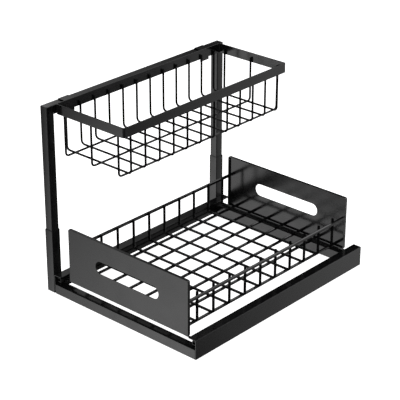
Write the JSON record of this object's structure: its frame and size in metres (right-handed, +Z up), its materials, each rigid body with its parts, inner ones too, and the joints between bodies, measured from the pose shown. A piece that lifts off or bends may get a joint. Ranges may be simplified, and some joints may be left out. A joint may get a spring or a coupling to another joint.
{
  "type": "under-cabinet organizer",
  "caption": "Two-level under-cabinet organizer: a steel frame with a pull-out wire drawer on ball slides and a wire basket hung on the top beam of its two posts.",
  "frame": {"origin": "centre of the footprint, on the cabinet floor", "axes": "+Z up, +Y towards the back of the cabinet, the drawer pulls out towards -Y, the posts stand on the -X side"},
  "size_m": [0.3154, 0.4, 0.3148],
  "materials": {
    "frame_black": "semi-gloss black powder coat",
    "slide_black": "black electrophoretic coat",
    "ball_steel": "bright steel",
    "drawer_black": "smooth gloss black coat",
    "wire_black": "semi-gloss black coat on wire",
    "basket_black": "semi-gloss black coat"
  },
  "bodies": {
    "frame": {"base_front_bar": "frame_black", "base_rear_bar": "frame_black", "rail_left": "frame_black", "rail_right": "frame_black", "post_sleeve_front": "frame_black", "post_sleeve_rear": "frame_black", "post_tube_front": "frame_black", "post_tube_rear": "frame_black", "top_beam": "frame_black", "slide_outer_left": "slide_black", "slide_outer_right": "slide_black"},
    "ball_cages": {"ball_cage_left": "ball_steel", "ball_cage_right": "ball_steel"},
    "drawer": {"slide_inner_left": "slide_black", "slide_inner_right": "slide_black", "bracket_front_left": "drawer_black", "bracket_front_right": "drawer_black", "bracket_rear_left": "drawer_black", "bracket_rear_right": "drawer_black", "drawer_front_panel": "drawer_black", "drawer_rear_panel": "drawer_black", "drawer_rod_left": "wire_black", "drawer_rod_right": "wire_black", "drawer_floor_wire_1": "wire_black", "drawer_floor_wire_2": "wire_black", "drawer_floor_wire_3": "wire_black", "drawer_floor_wire_4": "wire_black", "drawer_floor_wire_5": "wire_black", "drawer_floor_wire_6": "wire_black", "drawer_floor_wire_7": "wire_black", "drawer_cross_wire_01": "wire_black", "drawer_cross_wire_02": "wire_black", "drawer_cross_wire_03": "wire_black", "drawer_cross_wire_04": "wire_black", "drawer_cross_wire_05": "wire_black", "drawer_cross_wire_06": "wire_black", "drawer_cross_wire_07": "wire_black", "drawer_cross_wire_08": "wire_black", "drawer_cross_wire_09": "wire_black", "drawer_cross_wire_10": "wire_black"},
    "basket": {"basket_rim": "basket_black", "basket_hook_front": "basket_black", "basket_hook_rear": "basket_black", "basket_long_wire_1": "basket_black", "basket_long_wire_2": "basket_black", "basket_long_wire_3": "basket_black", "basket_cross_wire_01": "basket_black", "basket_cross_wire_02": "basket_black", "basket_cross_wire_03": "basket_black", "basket_cross_wire_04": "basket_black", "basket_cross_wire_05": "basket_black", "basket_cross_wire_06": "basket_black", "basket_cross_wire_07": "basket_black", "basket_cross_wire_08": "basket_black", "basket_cross_wire_09": "basket_black", "basket_cross_wire_10": "basket_black", "basket_cross_wire_11": "basket_black", "basket_cross_wire_12": "basket_black"}
  },
  "joints": [
    {"name": "drawer_slide", "type": "slide", "parent": "frame", "child": "drawer", "axis": [0, -1, 0], "range_m": [0, 0.25]},
    {"name": "ball_cage_slide", "type": "slide", "parent": "frame", "child": "ball_cages", "axis": [0, -1, 0], "range_m": [0, 0.125]},
    {"name": "basket_lift", "type": "slide", "parent": "frame", "child": "basket", "axis": [0, 0, 1], "range_m": [0, 0.1]}
  ],
  "couplings": [
    {"joint": "ball_cage_slide", "follows": "drawer_slide", "ratio": 0.5}
  ]
}
